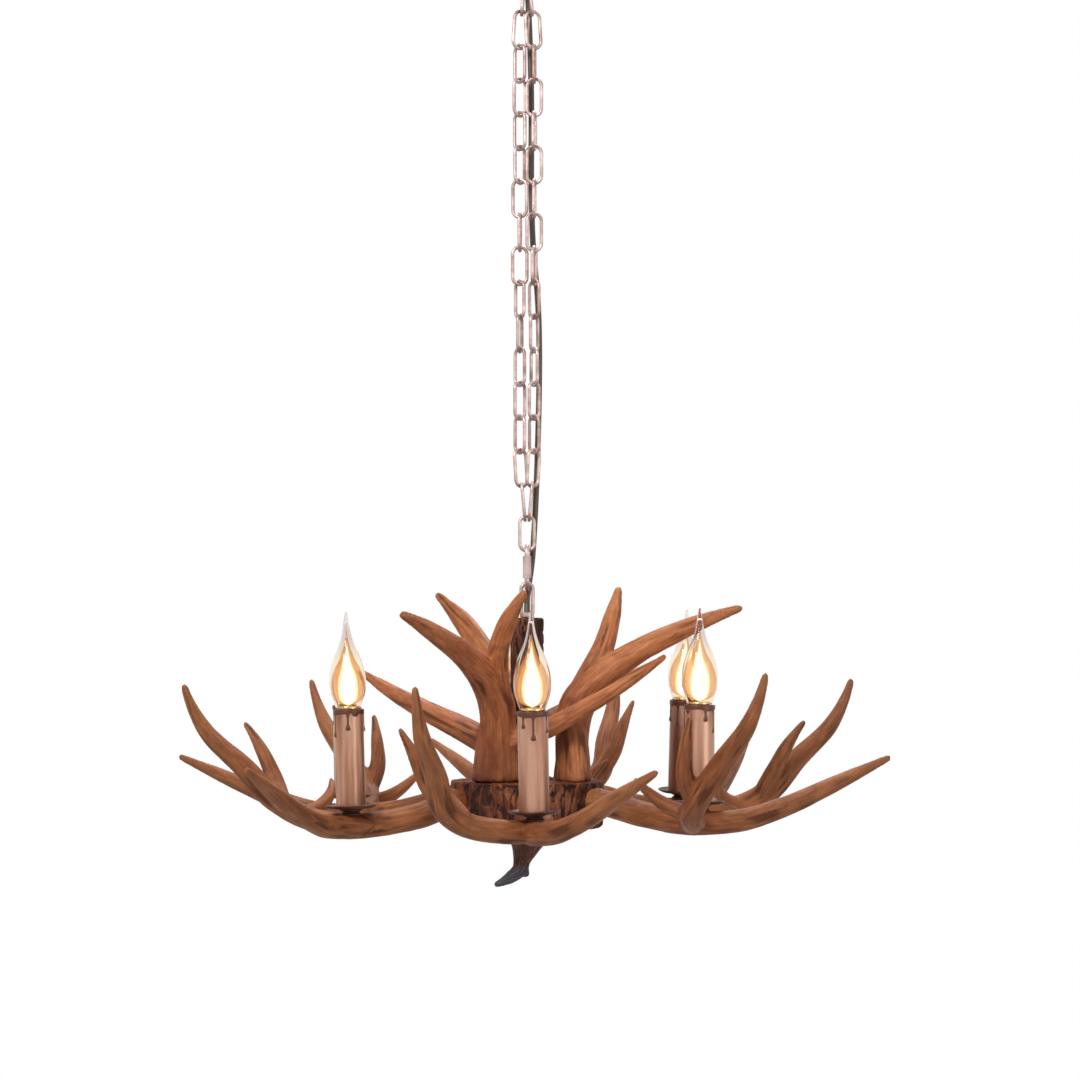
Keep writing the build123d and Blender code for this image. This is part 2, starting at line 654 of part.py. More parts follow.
with BuildPart() as canopy_loop:
    Cylinder(shank_radius, canopy_height, align=DOWN)
    with Locations((0, 0, canopy_floor)):
        Cylinder(collar_radius, collar_height, align=DOWN)
    boss_drop = ring_drop - ring_inside - canopy_height - collar_height + 1
    with Locations((0, 0, canopy_floor - collar_height)):
        Cone(shank_radius, shank_radius + 1, boss_drop, align=DOWN)
    with Locations(Location((0, 0, -ring_drop), (90, 0, 0))):
        Torus(ring_inside + ring_wire / 2, ring_wire / 2)
    Cylinder(tube_bore, 2 * (ring_drop - ring_inside / 2), mode=Mode.SUBTRACT)
    # flared mouth where the cable bends away
    with Locations((0, 0, ring_inside - ring_drop - 2)):
        Cone(tube_bore + mouth_flare, tube_bore, 6 * mouth_flare, align=UP, mode=Mode.SUBTRACT)
save(canopy_loop.part, "canopy_loop")

with BuildPart() as lock_nut:
    with BuildSketch(Plane.XY.offset(canopy_floor + canopy_wall)):
        RegularPolygon(lock_nut_across / 2, 6, major_radius=False)
        Circle(shank_radius + thread_gap, mode=Mode.SUBTRACT)
    extrude(amount=lock_nut_thickness)
save(lock_nut.part, "lock_nut")

# ---------------------------------------------------------------- cable
cable_route = [
    (0, 0, -45), (0, 0, -59), (0, 9, -72), (1, 15, -93), (2.5, 14, -128), (4, 15, -172), (4.6, 14, -218),
    (4.2, 14.8, -261), (4.5, 14, -303), (6, 14.6, -349), (11, 14, -395), (12.5, 14.6, -443), (12.2, 14, -493),
    (11, 14.6, -541), (9.5, 14, -587), (7.5, 14.6, -627), (5.5, 15, -660), (2, 14, -684), (0, 8, -698),
    (0, 0, -710), (0, 0, -724),
]
corners = [Vector(*p) for p in cable_route]
radii = []
for before, at, after in zip(corners, corners[1:], corners[2:]):
    turn = (at - before).get_angle(after - at)
    run = min((at - before).length, (after - at).length)
    radii.append(0.45 * run / tan(radians(turn / 2)))
with BuildPart() as cable:
    with BuildLine() as line:
        FilletPolyline(*corners, radius=radii)
    with BuildSketch(Plane(origin=corners[0], z_dir=(0, 0, -1))):
        Circle(cable_diameter / 2)
    sweep(path=line.line)
save(cable.part, "cable")
print("cable corner radii", [round(r, 1) for r in radii])
cable_length = sum(edge.length for edge in line.line.edges())
print("cable length", round(cable_length, 1))
print("cable volume share", round(cable.part.volume / (cable_length * pi * cable_diameter ** 2 / 4), 4))
print("joints at", round(ring_seat, 3), round(quick_top, 3), round(loop_top, 3), "hub top", round(hub_top, 3))
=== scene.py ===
"""Looks of the antler chandelier: cast antlers, bark hub, candle lights, chain, cable and canopy.

Metres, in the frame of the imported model: +Z up, ceiling at 0, the viewer on -Y. Castings, bark and
candle lights are drawn in millimetres, as in the part's source, and become metres when they are placed.
"""

import bpy
import numpy as np
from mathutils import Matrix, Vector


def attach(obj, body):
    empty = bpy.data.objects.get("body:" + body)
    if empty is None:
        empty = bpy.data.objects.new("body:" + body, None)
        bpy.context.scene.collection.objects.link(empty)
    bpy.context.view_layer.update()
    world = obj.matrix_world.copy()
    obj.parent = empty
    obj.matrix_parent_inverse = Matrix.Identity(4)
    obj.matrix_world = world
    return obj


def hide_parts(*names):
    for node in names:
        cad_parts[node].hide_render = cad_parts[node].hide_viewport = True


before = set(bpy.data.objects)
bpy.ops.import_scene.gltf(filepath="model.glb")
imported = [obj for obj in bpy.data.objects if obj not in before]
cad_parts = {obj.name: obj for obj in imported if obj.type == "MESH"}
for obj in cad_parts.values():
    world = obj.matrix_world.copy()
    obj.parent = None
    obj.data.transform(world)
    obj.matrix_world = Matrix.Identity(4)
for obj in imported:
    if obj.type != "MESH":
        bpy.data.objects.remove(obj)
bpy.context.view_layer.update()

MM = 0.001
HUB_TOP = -879.9
ARM_YAW = (1.0, -2.6, 0.8, -0.3, 1.2, -1.6)
ARM_PITCH = (-0.5, 0.8, 0.7, 0.9, -1.5, -1.0)
ARM_ROLL = (1.0, -1.8, 3.8, -2.6, 0.8, 1.4)
UPRIGHT_YAW = (5.0, -3.0, -3.0)
UPRIGHT_PITCH = (-2.6, -1.0, 2.6)
UPRIGHT_ROLL = (-0.7, 3.4, -3.4)
CANDLE_REACH = 195.0
CANDLE_SHIFT = ((0, 0), (0, 0), (-6.5, 0), (0, 0), (12.5, 3.0), (0, 0))
CANDLE_SEAT = -27.0
SLEEVE_FOOT = -19.3
SLEEVE_TOP = 75.7
GLASS_FOOT = 76.2
GLASS_HEIGHT = 93
GLASS_WALL = 0.8
SLEEVE_RADIUS = 14.3
SLEEVE_BORE = 12.9
TUBE_BORE = 5.1
HUB_RADIUS = 76.8
HUB_DEPTH = 48
HUB_COLS = 460
COLUMN_RADIUS = 17
COLUMN_HEIGHT = 162
COLUMN_COLS = 150
CABLE_RADIUS = 0.003
CAMERA_PLACE = (0, -2.778, -0.7274)
CAMERA_LENS = 92.6
PICTURE_SIDE = 1080
LAMPS_AIM = (0, 0, -0.8)
FLOOR_HALF = 3
FLOOR_Z = -2.1


# ---------------------------------------------------------------- arithmetic
def turned(axis, degrees):
    """Rotation matrix about one axis."""
    c, s = np.cos(np.radians(degrees)), np.sin(np.radians(degrees))
    return np.array({
        "x": [[1, 0, 0], [0, c, -s], [0, s, c]],
        "y": [[c, 0, s], [0, 1, 0], [-s, 0, c]],
        "z": [[c, -s, 0], [s, c, 0], [0, 0, 1]],
    }[axis])


def seat(points, turn, yaw, pitch, roll, pivot):
    """Mould millimetres to metres: tilt about the pivot, turn round the axis, lift to the hub."""
    tilt = turned("y", -pitch) @ turned("x", roll)
    pivot = np.array(pivot, float)
    local = (np.asarray(points, float) - pivot) @ tilt.T + pivot
    return (local @ turned("z", turn + yaw - 90).T + (0, 0, HUB_TOP)) * MM


def on_arm(n, points):
    return seat(points, 1 + 60 * n, ARM_YAW[n], ARM_PITCH[n], ARM_ROLL[n], (60, 0, -20))


def on_candle(n, points):
    return on_arm(n, np.asarray(points, float) + (CANDLE_REACH + CANDLE_SHIFT[n][0], CANDLE_SHIFT[n][1], 0))


def on_upright(n, points):
    return seat(points, -49 + 120 * n, UPRIGHT_YAW[n], UPRIGHT_PITCH[n], UPRIGHT_ROLL[n], (40, 10, 0))


def ease(x, low, high):
    """0 below low, 1 above high, 3t^2 - 2t^3 between."""
    t = np.clip((np.asarray(x, float) - low) / (high - low), 0, 1)
    return t * t * (3 - 2 * t)


def noise(p, seed):
    """Value noise, 0 to 1: hashed numbers on the whole-number lattice, blended by 3t^2 - 2t^3 in a cell."""
    shape = np.shape(p)[:-1]
    p = np.asarray(p, float).reshape(-1, 3)
    cell = np.floor(p).astype(np.int64)
    t = p - cell
    t = t * t * (3 - 2 * t)
    total = np.zeros(len(p))
    for corner in range(8):
        step = np.array([corner & 1, corner >> 1 & 1, corner >> 2 & 1])
        q = cell + step
        h = (q[:, 0] * 73856093) ^ (q[:, 1] * 19349663) ^ (q[:, 2] * 83492791) ^ (seed * 7919 + 12345)
        h = ((h ^ (h >> 13)) * 1274126177) & 0x7FFFFFFF
        h ^= h >> 15
        total += np.prod(np.where(step, t, 1 - t), axis=1) * (h & 0xFFFF) / 65535
    return total.reshape(shape)


def layered(p, seed, layers):
    """Noise plus half of it at twice the scale, and so on, scaled back to 0..1."""
    p = np.asarray(p, float)
    return sum(noise(p * 2 ** k, seed + k) / 2 ** k for k in range(layers)) / (2 - 0.5 ** (layers - 1))


def lengths_along(knots):
    """How far along the straight-line path each knot lies."""
    steps = np.diff(np.asarray(knots, float), axis=0)
    return np.concatenate([[0], np.cumsum(np.linalg.norm(steps, axis=1))])


def curve_through(knots, count):
    """Points on a smooth curve through the knots: cubic Hermite arcs whose slopes are central differences."""
    knots = np.asarray(knots, float)
    at = lengths_along(knots)
    slope = np.gradient(knots, at, axis=0, edge_order=2 if len(knots) > 2 else 1)
    s = np.linspace(0, at[-1], count)
    k = np.clip(np.searchsorted(at, s, side="right") - 1, 0, len(knots) - 2)
    h = (at[k + 1] - at[k])[:, None]
    t = ((s - at[k]) / h[:, 0])[:, None]
    return ((2 * t ** 3 - 3 * t ** 2 + 1) * knots[k] + (t ** 3 - 2 * t ** 2 + t) * h * slope[k]
            + (-2 * t ** 3 + 3 * t ** 2) * knots[k + 1] + (t ** 3 - t ** 2) * h * slope[k + 1])


def along_curve(points):
    """Tangent and two side vectors at each point; the sides are carried from point to point without twist."""
    tangent = np.gradient(points, axis=0)
    tangent /= np.linalg.norm(tangent, axis=1)[:, None]
    side = np.cross(tangent[0], (0, 0, 1) if abs(tangent[0][2]) < 0.9 else (0, 1, 0))
    sides = []
    for t in tangent:
        side = side - t * side.dot(t)
        side /= np.linalg.norm(side)
        sides.append(side)
    sides = np.array(sides)
    return tangent, sides, np.cross(tangent, sides)


# ---------------------------------------------------------------- surfaces
def grid_faces(rows, cols, ring=False, poles=()):
    """Triangles of a rows by cols grid closed round its columns; ring joins the last row to the first."""
    r = np.arange(rows if ring else rows - 1)[:, None]
    c = np.arange(cols)[None, :]
    far, near = (r + 1) % rows * cols, r * cols
    a, b, d, e = near + c, near + (c + 1) % cols, far + c, far + (c + 1) % cols
    faces = np.stack([a, b, e, a, e, d], -1).reshape(-1, 3)
    for row in poles:
        faces = np.where(faces // cols == row % rows, row % rows * cols, faces)
    whole = (faces[:, 0] != faces[:, 1]) & (faces[:, 1] != faces[:, 2]) & (faces[:, 2] != faces[:, 0])
    return faces[whole]


def lathe(profile, cols):
    """Profile of (radius, height) carried round z: (r cos u, r sin u, h), rows by cols by 3."""
    profile = np.asarray(profile, float)
    u = np.linspace(0, 2 * np.pi, cols, endpoint=False)
    r, h = profile[:, 0, None], profile[:, 1, None]
    return np.stack([r * np.cos(u), r * np.sin(u), h + 0 * u], -1)


def tine_skin(knots, radii, cols=28, rows=64):
    """Tapering tube: c(v) + r(v) (cos u side + sin u up), with a half-round cap at the tip."""
    centre = curve_through(knots, rows)
    at = lengths_along(knots)
    radius = np.interp(np.linspace(0, at[-1], rows), at, radii)
    radius = np.convolve(np.pad(radius, 3, mode="edge"), np.ones(7) / 7, mode="valid")
    radius[-1] = radii[-1]
    tangent, side, up = along_curve(centre)
    cap = np.radians(np.linspace(0, 90, 6)[1:])
    centre = np.concatenate([centre, centre[-1] + np.sin(cap)[:, None] * radius[-1] * tangent[-1]])
    radius = np.concatenate([radius, radius[-1] * np.cos(cap)])
    side = np.concatenate([side, np.repeat(side[-1:], 5, 0)])
    up = np.concatenate([up, np.repeat(up[-1:], 5, 0)])
    u = np.linspace(0, 2 * np.pi, cols, endpoint=False)[None, :, None]
    skin = centre[:, None] + radius[:, None, None] * (np.cos(u) * side[:, None] + np.sin(u) * up[:, None])
    skin = np.concatenate([np.repeat(centre[:1, None], cols, 1), skin])
    count = len(skin)
    return skin.reshape(-1, 3), grid_faces(count, cols, poles=(0, count - 1))


def mesh_of(name, points, faces):
    """A mesh from an array of points in metres and an array of equal-sided faces."""
    used, index = np.unique(faces, return_inverse=True)
    points, faces = np.asarray(points, float).reshape(-1, 3)[used], index.reshape(np.shape(faces))
    mesh = bpy.data.meshes.new(name)
    mesh.vertices.add(len(points))
    mesh.vertices.foreach_set("co", points.astype(np.float32).ravel())
    mesh.loops.add(faces.size)
    mesh.loops.foreach_set("vertex_index", faces.astype(np.int32).ravel())
    mesh.polygons.add(len(faces))
    mesh.polygons.foreach_set("loop_start", (np.arange(len(faces)) * faces.shape[1]).astype(np.int32))
    mesh.polygons.foreach_set("use_smooth", np.ones(len(faces), bool))
    mesh.update(calc_edges=True)
    mesh.validate()
    return mesh, used


def piece(name, points, faces, look, body, stands_for=(), marks=None):
    """A finished piece: mesh, attributes, material, body and the CAD nodes it stands for."""
    mesh, used = mesh_of(name, points, faces)
    for label, values in (marks or {}).items():
        values = np.asarray(values, np.float32)
        kind = "FLOAT_VECTOR" if values.ndim > 1 else "FLOAT"
        layer = mesh.attributes.new(label, kind, "POINT")
        layer.data.foreach_set("vector" if values.ndim > 1 else "value", values[used].ravel())
    mesh.materials.append(look)
    obj = bpy.data.objects.new(name, mesh)
    bpy.context.scene.collection.objects.link(obj)
    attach(obj, body)
    if stands_for:
        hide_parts(*stands_for)


def fused(skins, voxel, rounds):
    """Overlapping closed skins as one: remeshed on a grid of voxel mm, relaxed so that forks blend."""
    points, faces, start = [], [], 0
    for p, f in skins:
        points.append(p)
        faces.append(f + start)
        start += len(p)
    mesh, _ = mesh_of("blank", np.concatenate(points), np.concatenate(faces))
    blank = bpy.data.objects.new("blank", mesh)
    bpy.context.scene.collection.objects.link(blank)
    remesh = blank.modifiers.new("skin", "REMESH")
    remesh.mode = "VOXEL"
    remesh.voxel_size = voxel
    relax = blank.modifiers.new("relax", "SMOOTH")
    relax.factor = 0.5
    relax.iterations = rounds
    bpy.context.view_layer.update()
    done = blank.evaluated_get(bpy.context.evaluated_depsgraph_get()).to_mesh()
    p = np.zeros(len(done.vertices) * 3, np.float32)
    done.vertices.foreach_get("co", p)
    f = np.zeros(len(done.loops), np.int32)
    done.loops.foreach_get("vertex_index", f)
    n = np.zeros(len(done.vertices) * 3, np.float32)
    done.vertices.foreach_get("normal", n)
    blank.to_mesh_clear()
    bpy.data.objects.remove(blank)
    return p.reshape(-1, 3).astype(float), f.reshape(-1, 4), n.reshape(-1, 3).astype(float)


# ---------------------------------------------------------------- materials
def shader(name):
    """A new material; returns it, its node tree and its surface node."""
    look = bpy.data.materials.new(name)
    look.use_nodes = True
    tree = look.node_tree
    return look, tree, tree.nodes["Principled BSDF"]


def join(tree, source, target):
    tree.links.new(source, target)


def field(tree, label, scale, detail, rough, stretch=None, warp=0.0):
    """Noise over Object coordinates, or over an attribute where a label is given, with its own stretch."""
    if label:
        place = tree.nodes.new("ShaderNodeAttribute")
        place.attribute_name = label
        out = place.outputs["Vector"]
    else:
        out = tree.nodes.new("ShaderNodeTexCoord").outputs["Object"]
    if stretch:
        mapping = tree.nodes.new("ShaderNodeMapping")
        mapping.inputs["Scale"].default_value = stretch
        join(tree, out, mapping.inputs["Vector"])
        out = mapping.outputs["Vector"]
    n = tree.nodes.new("ShaderNodeTexNoise")
    n.inputs["Scale"].default_value = scale
    n.inputs["Detail"].default_value = detail
    n.inputs["Roughness"].default_value = rough
    n.inputs["Distortion"].default_value = warp
    join(tree, out, n.inputs["Vector"])
    return n.outputs["Fac"]


def attribute(tree, label):
    n = tree.nodes.new("ShaderNodeAttribute")
    n.attribute_name = label
    return n.outputs["Fac"]


def object_height(tree):
    """Height above the ceiling face, in metres: the Z of the Object coordinates."""
    n = tree.nodes.new("ShaderNodeSeparateXYZ")
    join(tree, tree.nodes.new("ShaderNodeTexCoord").outputs["Object"], n.inputs[0])
    return n.outputs["Z"]


def ramp(tree, value, stops):
    """Colour ramp over a value; stops are (place, (r, g, b))."""
    n = tree.nodes.new("ShaderNodeValToRGB")
    band = n.color_ramp
    for k, (place, colour) in enumerate(stops):
        stop = band.elements[k] if k < 2 else band.elements.new(place)
        stop.position = place
        stop.color = (*colour, 1)
    join(tree, value, n.inputs["Fac"])
    return n.outputs["Color"]


def blend_colour(tree, share, a, b):
    """Mix of two colours; share, a and b are sockets or plain values."""
    n = tree.nodes.new("ShaderNodeMix")
    n.data_type = "RGBA"
    for socket, value in ((n.inputs[0], share), (n.inputs[6], a), (n.inputs[7], b)):
        if isinstance(value, bpy.types.NodeSocket):
            join(tree, value, socket)
        elif isinstance(value, tuple):
            socket.default_value = (*value, 1)
        else:
            socket.default_value = value
    return n.outputs[2]


def maths(tree, kind, a, b, c=None):
    n = tree.nodes.new("ShaderNodeMath")
    n.operation = kind
    for socket, value in zip(n.inputs, (a, b, c)):
        if isinstance(value, bpy.types.NodeSocket):
            join(tree, value, socket)
        elif value is not None:
            socket.default_value = value
    return n.outputs[0]


def span(tree, value, low, high, to_low=0.0, to_high=1.0):
    """A value spread from low..high to another range, clamped."""
    n = tree.nodes.new("ShaderNodeMapRange")
    join(tree, value, n.inputs["Value"])
    for k, v in zip(("From Min", "From Max", "To Min", "To Max"), (low, high, to_low, to_high)):
        n.inputs[k].default_value = v
    return n.outputs["Result"]


def raise_surface(tree, surface, height, distance, strength):
    n = tree.nodes.new("ShaderNodeBump")
    n.inputs["Distance"].default_value = distance
    n.inputs["Strength"].default_value = strength
    join(tree, height, n.inputs["Height"])
    join(tree, n.outputs["Normal"], surface.inputs["Normal"])


def antler_look(name, dark, mid, light, pale, tip_share, foot_shade_and_stain=0.0):
    """Stained casting: streaks along the grain, dark grooves, blotches, paler tips; the last argument darkens
    it over the 85 mm above the hub in cloudy patches, painted shade where the uprights meet the hub mixed
    with a real stain."""
    look, tree, surface = shader(name)
    streak = field(tree, "grain", 1.3, 6, 0.62, warp=0.6)
    cloud = field(tree, None, 9, 3, 0.55)
    blotch = field(tree, None, 34, 4, 0.6)
    colour = ramp(tree, streak, ((0.30, dark), (0.50, mid), (0.72, light)))
    colour = blend_colour(tree, span(tree, cloud, 0.38, 0.64, 0, 0.55), colour, mid)
    colour = blend_colour(tree, span(tree, cloud, 0.60, 0.40, 0, 0.40), colour, light)
    colour = blend_colour(tree, span(tree, blotch, 0.56, 0.74, 0, 0.55), colour, dark)
    colour = blend_colour(tree, maths(tree, "MULTIPLY", attribute(tree, "tip"), tip_share), colour, pale)
    colour = blend_colour(tree, span(tree, attribute(tree, "groove"), 0.0, 1.0, 0, 0.8), colour, dark)
    # painted shade at the foot of the uprights, broken into patches by the cloud noise like a stain
    if foot_shade_and_stain:
        low = span(tree, object_height(tree), HUB_TOP * MM, (HUB_TOP + 85) * MM, foot_shade_and_stain, 0)
        colour = blend_colour(tree, maths(tree, "MULTIPLY", low, span(tree, cloud, 0.35, 0.6)), colour, dark)
    join(tree, colour, surface.inputs["Base Color"])
    join(tree, span(tree, streak, 0.3, 0.7, 0.60, 0.40), surface.inputs["Roughness"])
    surface.inputs["Specular IOR Level"].default_value = 0.22
    fine = field(tree, "grain", 6, 4, 0.6)
    raise_surface(tree, surface, maths(tree, "ADD", streak, fine), 0.0007, 0.7)
    return look


def bark_look(name, dark, mid, light):
    """Cast bark: furrows nearly black, ridges reddish brown, worn spots tan, dark stain in patches."""
    look, tree, surface = shader(name)
    patch = field(tree, None, 26, 5, 0.65, stretch=(1, 1, 0.45), warp=0.8)
    stain = field(tree, None, 15, 3, 0.55, stretch=(1, 1, 0.6), warp=0.5)
    fine = field(tree, None, 160, 5, 0.65, stretch=(1, 1, 0.5))
    colour = ramp(tree, patch, ((0.34, dark), (0.50, mid), (0.68, light)))
    colour = blend_colour(tree, span(tree, stain, 0.52, 0.62, 0, 0.85), colour, dark)
    colour = blend_colour(tree, span(tree, attribute(tree, "groove"), 0.25, 0.85, 0, 1), colour, dark)
    colour = blend_colour(tree, span(tree, fine, 0.52, 0.75, 0, 0.5), colour, light)
    join(tree, colour, surface.inputs["Base Color"])
    surface.inputs["Roughness"].default_value = 0.62
    surface.inputs["Specular IOR Level"].default_value = 0.15
    raise_surface(tree, surface, fine, 0.0014, 0.8)
    return look


def metal_look(name, colour, shade, rough, metallic):
    """Painted or plated metal with a faint mottle and uneven gloss."""
    look, tree, surface = shader(name)
    mottle = field(tree, None, 60, 4, 0.6)
    join(tree, ramp(tree, mottle, ((0.35, shade), (0.65, colour))), surface.inputs["Base Color"])
    join(tree, span(tree, mottle, 0.3, 0.7, rough + 0.1, rough - 0.05), surface.inputs["Roughness"])
    surface.inputs["Metallic"].default_value = metallic
    surface.inputs["Specular IOR Level"].default_value = 0.3
    raise_surface(tree, surface, mottle, 0.0002, 0.4)
    return look


arm_look = antler_look("stained_antler_arms", (0.060, 0.016, 0.006), (0.250, 0.076, 0.025),
                       (0.480, 0.182, 0.068), (0.360, 0.150, 0.066), 0.35)
upright_look = antler_look("stained_antler_uprights", (0.060, 0.014, 0.005), (0.430, 0.132, 0.048),
                           (0.760, 0.310, 0.125), (0.400, 0.145, 0.056), 0.35, 0.75)
finial_look, tree, surface = shader("horn_finial")
slate = span(tree, object_height(tree), (HUB_TOP - 84) * MM, (HUB_TOP - 88) * MM)
streak = field(tree, "grain", 2.2, 5, 0.6)
brown = ramp(tree, streak, ((0.3, (0.030, 0.010, 0.006)), (0.55, (0.125, 0.045, 0.022)),
                            (0.75, (0.34, 0.155, 0.085))))
grey = ramp(tree, streak, ((0.3, (0.040, 0.035, 0.042)), (0.7, (0.115, 0.100, 0.110))))
join(tree, blend_colour(tree, slate, brown, grey), surface.inputs["Base Color"])
surface.inputs["Specular IOR Level"].default_value = 0.2
surface.inputs["Roughness"].default_value = 0.5
raise_surface(tree, surface, streak, 0.0006, 0.6)

hub_look = bark_look("bark_hub", (0.024, 0.008, 0.006), (0.130, 0.036, 0.015), (0.40, 0.150, 0.070))
column_look = bark_look("bark_column", (0.016, 0.006, 0.004), (0.070, 0.022, 0.012), (0.20, 0.075, 0.042))
chain_look = metal_look("antique_chain", (0.62, 0.47, 0.44), (0.30, 0.19, 0.16), 0.36, 0.75)
steel_look = metal_look("zinc_plate", (0.62, 0.62, 0.60), (0.50, 0.50, 0.49), 0.35, 0.9)
pan_look = metal_look("dark_bronze_pan", (0.120, 0.042, 0.024), (0.055, 0.020, 0.012), 0.42, 0.25)
canopy_look = metal_look("bronze_canopy", (0.125, 0.060, 0.042), (0.080, 0.038, 0.028), 0.4, 0.4)
brass_look = metal_look("brass_screw_base", (0.75, 0.55, 0.28), (0.60, 0.42, 0.20), 0.28, 1.0)
holder_look = metal_look("black_holder", (0.020, 0.018, 0.018), (0.012, 0.011, 0.011), 0.45, 0.0)
cable_look, tree, surface = shader("cable_jacket")
cloud = field(tree, None, 40, 3, 0.5)
colour = ramp(tree, cloud, ((0.35, (0.060, 0.040, 0.024)), (0.65, (0.105, 0.072, 0.044))))
join(tree, colour, surface.inputs["Base Color"])
surface.inputs["Roughness"].default_value = 0.42
raise_surface(tree, surface, field(tree, None, 300, 2, 0.5), 0.0001, 0.3)

# candle sleeve: satin body in a few broad upright bands, the palest of them a painted sheen streak, dark wax
# at the rim and in the drips
sleeve_look, tree, surface = shader("candle_sleeve")
streak = field(tree, "flow", 1.6, 2, 0.45)
fleck = field(tree, None, 220, 3, 0.6)
# colour bands round the sleeve: the darker stops are its own tone, the palest stop is painted satin highlight
band_and_sheen_colour = ramp(tree, streak, ((0.36, (0.26, 0.105, 0.055)), (0.50, (0.40, 0.185, 0.110)),
                                  (0.64, (0.56, 0.305, 0.205))))
band_and_sheen_colour = blend_colour(tree, span(tree, fleck, 0.58, 0.8, 0, 0.3), band_and_sheen_colour, (0.22, 0.09, 0.05))
wax = span(tree, attribute(tree, "wax"), 0.15, 0.7)
join(tree, blend_colour(tree, wax, band_and_sheen_colour, (0.110, 0.036, 0.020)), surface.inputs["Base Color"])
join(tree, span(tree, wax, 0, 1, 0.30, 0.40), surface.inputs["Roughness"])
surface.inputs["Metallic"].default_value = 0.35
raise_surface(tree, surface, fleck, 0.0001, 0.3)

# bulb: pale amber flame glass that turns clear at its drawn-out tail
glass_look, tree, surface = shader("amber_glass")
tint = ramp(tree, attribute(tree, "rise"), ((0.50, (1.0, 0.92, 0.80)), (0.74, (0.84, 0.78, 0.76))))
join(tree, tint, surface.inputs["Base Color"])
surface.inputs["Transmission Weight"].default_value = 1.0
surface.inputs["Roughness"].default_value = 0.02
surface.inputs["IOR"].default_value = 1.25

# light inside the bulb: nested flames, white in the middle and amber at the glass
glow_look, tree, surface = shader("filament_light")
warmth = attribute(tree, "warmth")
wave = field(tree, None, 190, 3, 0.6, stretch=(1, 1, 0.22), warp=0.4)
light_colour = ramp(tree, warmth, ((0.0, (0.80, 0.33, 0.11)), (0.4, (0.95, 0.55, 0.22)),
                                   (0.7, (1.0, 0.93, 0.68)), (1.0, (1.0, 0.98, 0.90))))
light_colour = blend_colour(tree, span(tree, wave, 0.46, 0.60, 0, 0.4), light_colour, (1.0, 0.60, 0.24))
join(tree, light_colour, surface.inputs["Emission Color"])
strength = maths(tree, "MULTIPLY_ADD", maths(tree, "POWER", warmth, 2.5), 5.2, 0.8)
join(tree, strength, surface.inputs["Emission Strength"])
opacity = ramp(tree, warmth, ((0.0, (0.46,) * 3), (0.4, (0.34,) * 3), (0.7, (0.45,) * 3), (1.0, (1.0,) * 3)))
join(tree, opacity, surface.inputs["Alpha"])
surface.inputs["Base Color"].default_value = (0.02, 0.01, 0.005, 1)
surface.inputs["Specular IOR Level"].default_value = 0.0
surface.inputs["Roughness"].default_value = 0.8

# ---------------------------------------------------------------- camera, cable, stage and light
camera = bpy.data.objects.new("camera", bpy.data.cameras.new("camera"))
bpy.context.scene.collection.objects.link(camera)
camera.location = CAMERA_PLACE
camera.rotation_euler = (np.pi / 2, 0, 0)
camera.data.sensor_width = 36
camera.data.lens = CAMERA_LENS
camera.data.shift_x = 13 / PICTURE_SIDE
camera.data.shift_y = 87 / PICTURE_SIDE
bpy.context.scene.camera = camera
bpy.context.scene.view_settings.view_transform = "Standard"

route = [
    (0, 0, -45), (0, 0, -59), (0, 9, -72), (1, 15, -93), (2.5, 14, -128), (4, 15, -172), (4.6, 14, -218),
    (4.2, 14.8, -261), (4.5, 14, -303), (6, 14.6, -349), (11, 14, -395), (12.5, 14.6, -443), (12.2, 14, -493),
    (11, 14.6, -541), (9.5, 14, -587), (7.5, 14.6, -627), (5.5, 15, -660), (2, 14, -684), (0, 8, -698),
    (0, 0, -710), (0, 0, -724),
]
line = bpy.data.curves.new("mains_cable", "CURVE")
line.dimensions = "3D"
line.bevel_depth = CABLE_RADIUS
line.bevel_resolution = 6
line.resolution_u = 12
line.use_fill_caps = True
spline = line.splines.new("NURBS")
spline.points.add(len(route) - 1)
for point, place in zip(spline.points, route):
    point.co = (*[v * MM for v in place], 1)
spline.order_u = 3
spline.use_endpoint_u = True
cable = bpy.data.objects.new("mains_cable", line)
line.materials.append(cable_look)
bpy.context.scene.collection.objects.link(cable)
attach(cable, "chain")
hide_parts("cable")


def white_to_camera(tree, plain, white):
    """Shader output: white to the camera, to reflections and through glass, plain to all other light."""
    path = tree.nodes.new("ShaderNodeLightPath")
    seen = maths(tree, "MAXIMUM", path.outputs["Is Camera Ray"], path.outputs["Is Glossy Ray"])
    seen = maths(tree, "MAXIMUM", seen, path.outputs["Is Transmission Ray"])
    mix = tree.nodes.new("ShaderNodeMixShader")
    join(tree, seen, mix.inputs[0])
    join(tree, plain, mix.inputs[1])
    join(tree, white, mix.inputs[2])
    return mix.outputs[0]


world = bpy.data.worlds.new("studio")
bpy.context.scene.world = world
world.use_nodes = True
tree = world.node_tree
dim = tree.nodes["Background"]
dim.inputs["Color"].default_value = (1, 1, 1, 1)
dim.inputs["Strength"].default_value = 0.20
bright = tree.nodes.new("ShaderNodeBackground")
bright.inputs["Color"].default_value = (1, 1, 1, 1)
sky = white_to_camera(tree, dim.outputs[0], bright.outputs[0])
join(tree, sky, tree.nodes["World Output"].inputs["Surface"])

floor_corners = [(x * FLOOR_HALF, y * FLOOR_HALF, FLOOR_Z)
                 for x, y in ((-1, -1), (1, -1), (1, 1), (-1, 1))]
floor_mesh, _ = mesh_of("floor", np.array(floor_corners), np.array([[0, 1, 2, 3]]))
floor = bpy.data.objects.new("floor", floor_mesh)
bpy.context.scene.collection.objects.link(floor)
floor_look, tree, surface = shader("pale_floor")
surface.inputs["Base Color"].default_value = (0.82, 0.82, 0.82, 1)
surface.inputs["Roughness"].default_value = 0.8
floor_mesh.materials.append(floor_look)


